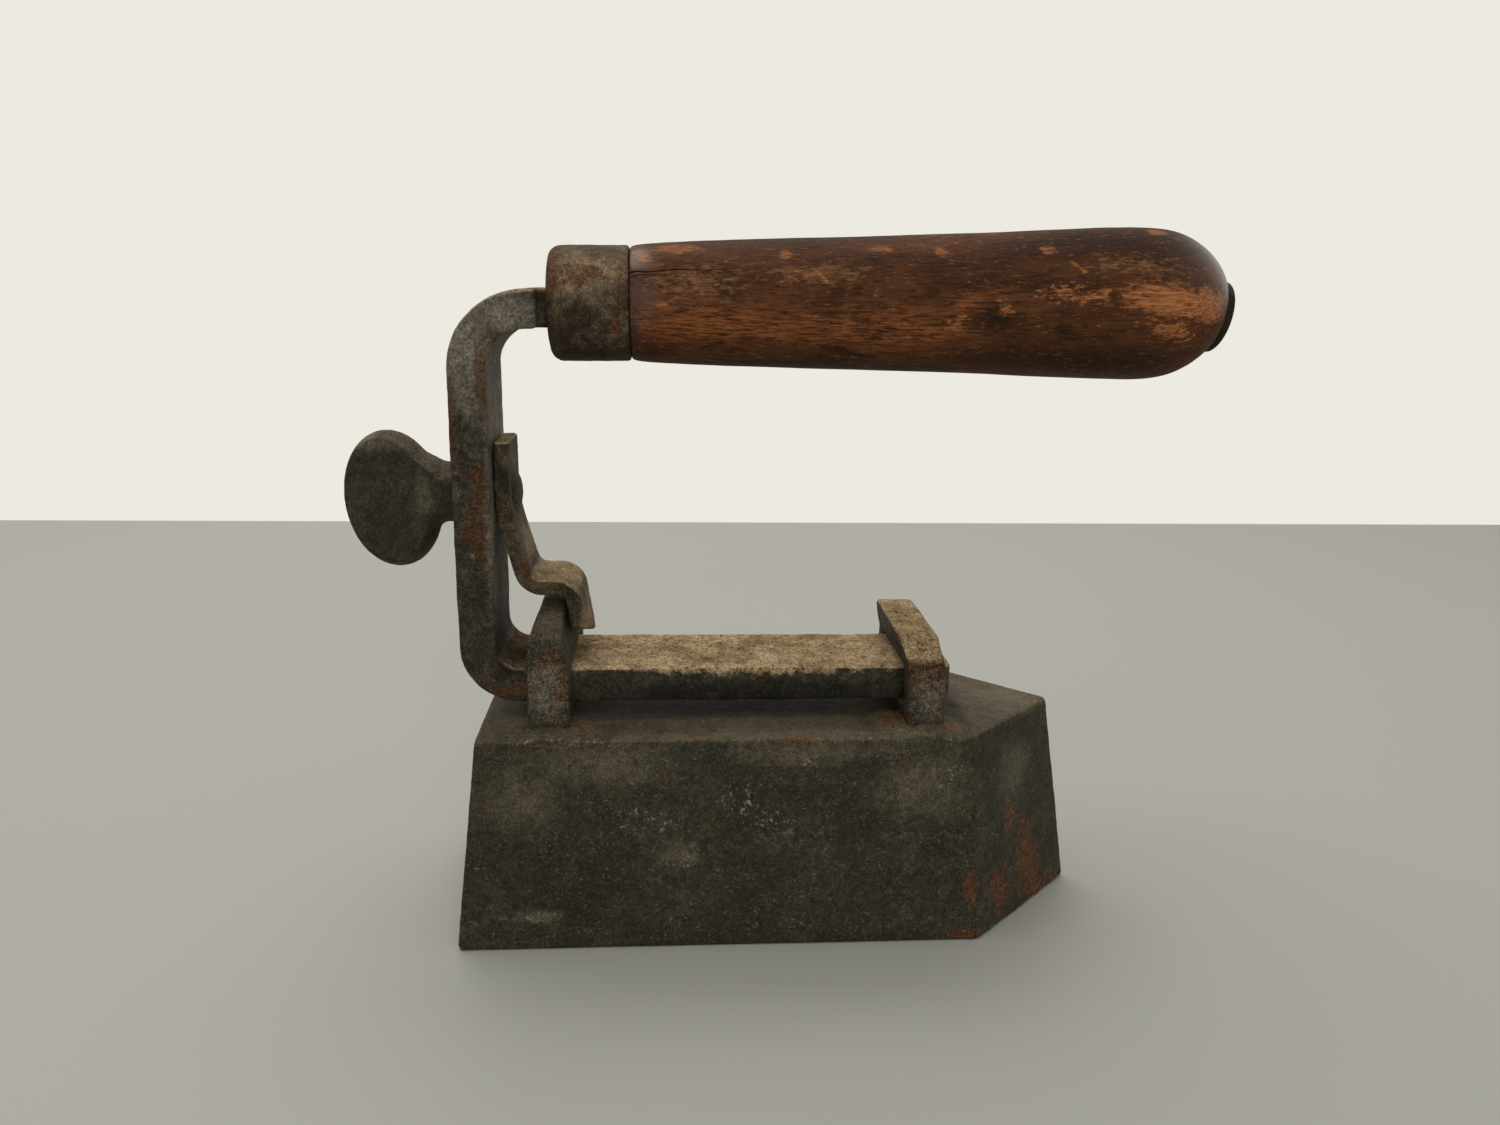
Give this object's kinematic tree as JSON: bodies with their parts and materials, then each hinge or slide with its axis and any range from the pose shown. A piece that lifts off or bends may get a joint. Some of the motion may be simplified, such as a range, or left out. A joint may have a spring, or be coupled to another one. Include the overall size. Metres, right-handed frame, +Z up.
{
  "type": "slug iron",
  "caption": "Solid cast laundry iron with a pointed nose, forged eyes on top, and a lift-off handle of bent flat bar with a turned wooden grip and a turn latch.",
  "frame": {"origin": "middle of the sole's length and width, on the sole", "axes": "+X towards the point of the nose, +Z up out of the block, +Y completes the right-handed frame"},
  "size_m": [0.1923, 0.056, 0.1545],
  "materials": {
    "cast_block": "matt, granular, worn and rusted in places",
    "forged_eyes": "matt, hammered, dusty rust on top",
    "forged_bar": "matt, hammered, worn edges",
    "ferrule_steel": "dull, brown rust film",
    "grip_wood": "old varnish, worn through in places",
    "washer_steel": "dull, brown",
    "latch_steel": "matt, hammered, worn edges"
  },
  "bodies": {
    "base": {"iron_block": "cast_block", "rear_eye": "forged_eyes", "front_eye": "forged_eyes"},
    "handle": {"handle_bar": "forged_bar", "ferrule": "ferrule_steel", "grip": "grip_wood", "end_washer": "washer_steel"},
    "turn_latch": {"thumb_key": "latch_steel", "latch": "latch_steel"}
  },
  "joints": [
    {"name": "handle_slide", "type": "slide", "parent": "base", "child": "handle", "axis": [1, 0, 0], "range_m": [0, 0.003]},
    {"name": "latch_turn", "type": "hinge", "parent": "handle", "child": "turn_latch", "pos_m": [-0.0675, 0, 0.096], "axis": [1, 0, 0], "range_deg": [-140, 140]}
  ]
}
